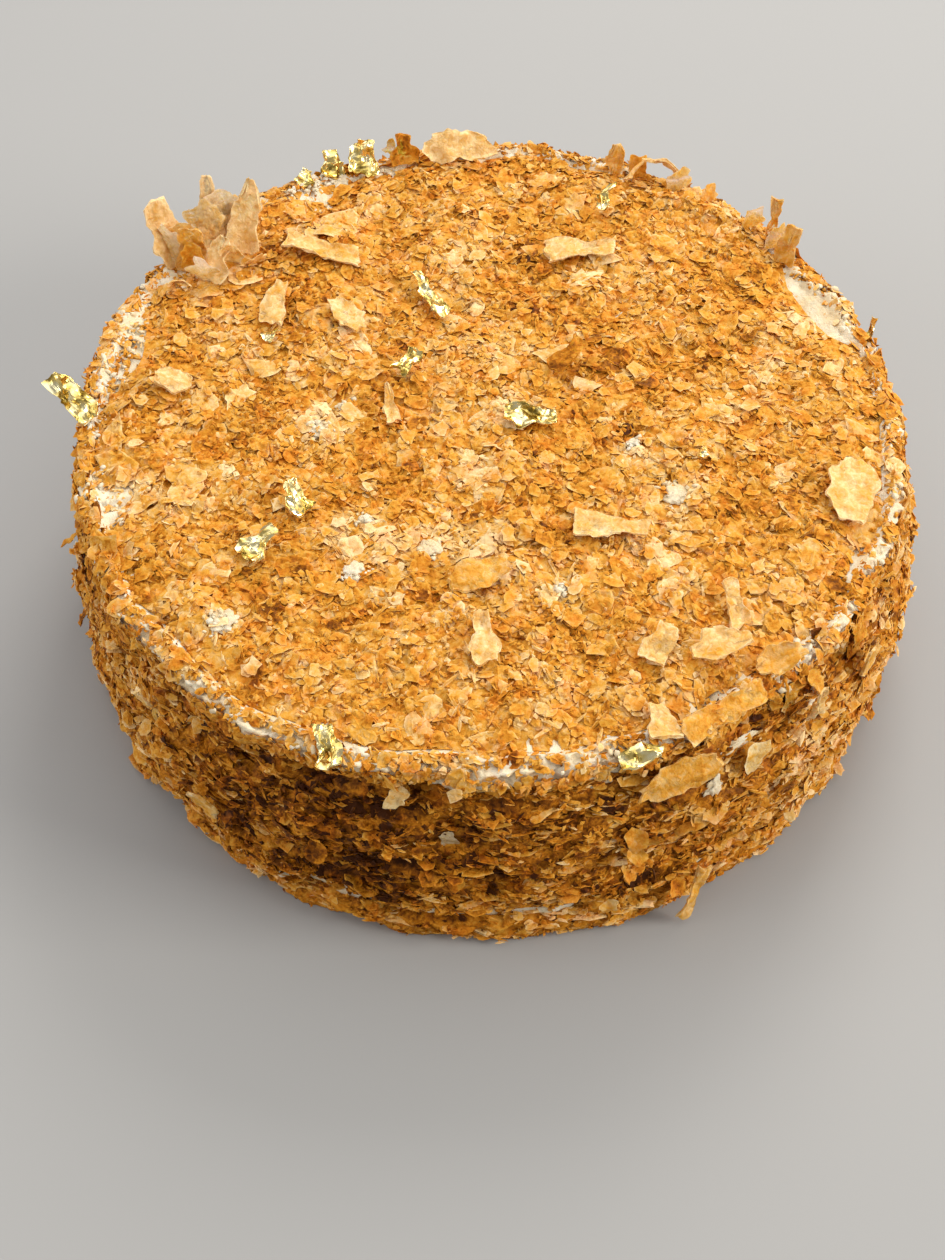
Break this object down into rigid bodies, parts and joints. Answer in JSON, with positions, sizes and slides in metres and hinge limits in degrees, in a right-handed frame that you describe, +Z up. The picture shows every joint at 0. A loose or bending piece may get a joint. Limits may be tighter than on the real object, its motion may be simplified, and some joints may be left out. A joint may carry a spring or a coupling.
{
  "type": "napoleon cake",
  "caption": "Whole round napoleon cake of puff pastry and cream, coated with pastry crumbs and flakes and dotted with crumpled gold leaf.",
  "frame": {"origin": "on the underside, on the middle axis of the cake, where it stands on its plate or board", "axes": "+Z up, -Y to the front, which is the side shown in the reference view, and +X to its right"},
  "size_m": [0.232, 0.232, 0.0861],
  "materials": {
    "pastry": "dry flaky puff pastry, golden to toffee brown, with cream showing through",
    "cream": "soft whipped custard cream, satin",
    "crumb": "loose crumbs and small flakes of baked puff pastry, golden orange",
    "flake_pale": "thin pale shard of puff pastry, slightly translucent, satin",
    "flake_golden": "thin golden orange shard of puff pastry, buttery satin",
    "flake_brown": "thin well baked brown shard of puff pastry, satin",
    "gold_leaf": "crumpled edible gold leaf, bright metal with sharp creases"
  },
  "bodies": {
    "root": {"cream_low": "cream", "cream_top": "cream", "crumb_top": "crumb", "flake_01": "flake_pale", "flake_02": "flake_golden", "flake_03": "flake_pale", "flake_04": "flake_pale", "flake_05": "flake_pale", "flake_06": "flake_pale", "flake_07": "flake_brown", "flake_08": "flake_golden", "flake_09": "flake_pale", "flake_10": "flake_golden", "flake_11": "flake_golden", "flake_12": "flake_pale", "flake_13": "flake_pale", "flake_14": "flake_pale", "flake_15": "flake_pale", "flake_16": "flake_pale", "flake_17": "flake_pale", "flake_18": "flake_pale", "flake_19": "flake_pale", "flake_20": "flake_pale", "flake_21": "flake_pale", "flake_22": "flake_pale", "flake_23": "flake_golden", "flake_24": "flake_pale", "flake_25": "flake_brown", "flake_26": "flake_pale", "flake_27": "flake_golden", "flake_28": "flake_pale", "flake_29": "flake_pale", "flake_30": "flake_pale", "flake_31": "flake_pale", "flake_32": "flake_brown", "flake_33": "flake_pale", "flake_34": "flake_pale", "flake_35": "flake_pale", "gold_leaf_01": "gold_leaf", "gold_leaf_02": "gold_leaf", "gold_leaf_03": "gold_leaf", "gold_leaf_04": "gold_leaf", "gold_leaf_05": "gold_leaf", "gold_leaf_06": "gold_leaf", "gold_leaf_07": "gold_leaf", "gold_leaf_08": "gold_leaf", "gold_leaf_09": "gold_leaf", "gold_leaf_10": "gold_leaf", "gold_leaf_11": "gold_leaf", "gold_leaf_12": "gold_leaf", "gold_leaf_13": "gold_leaf", "gold_leaf_14": "gold_leaf", "gold_leaf_15": "gold_leaf", "pastry_base": "pastry", "pastry_body": "pastry"}
  },
  "joints": []
}
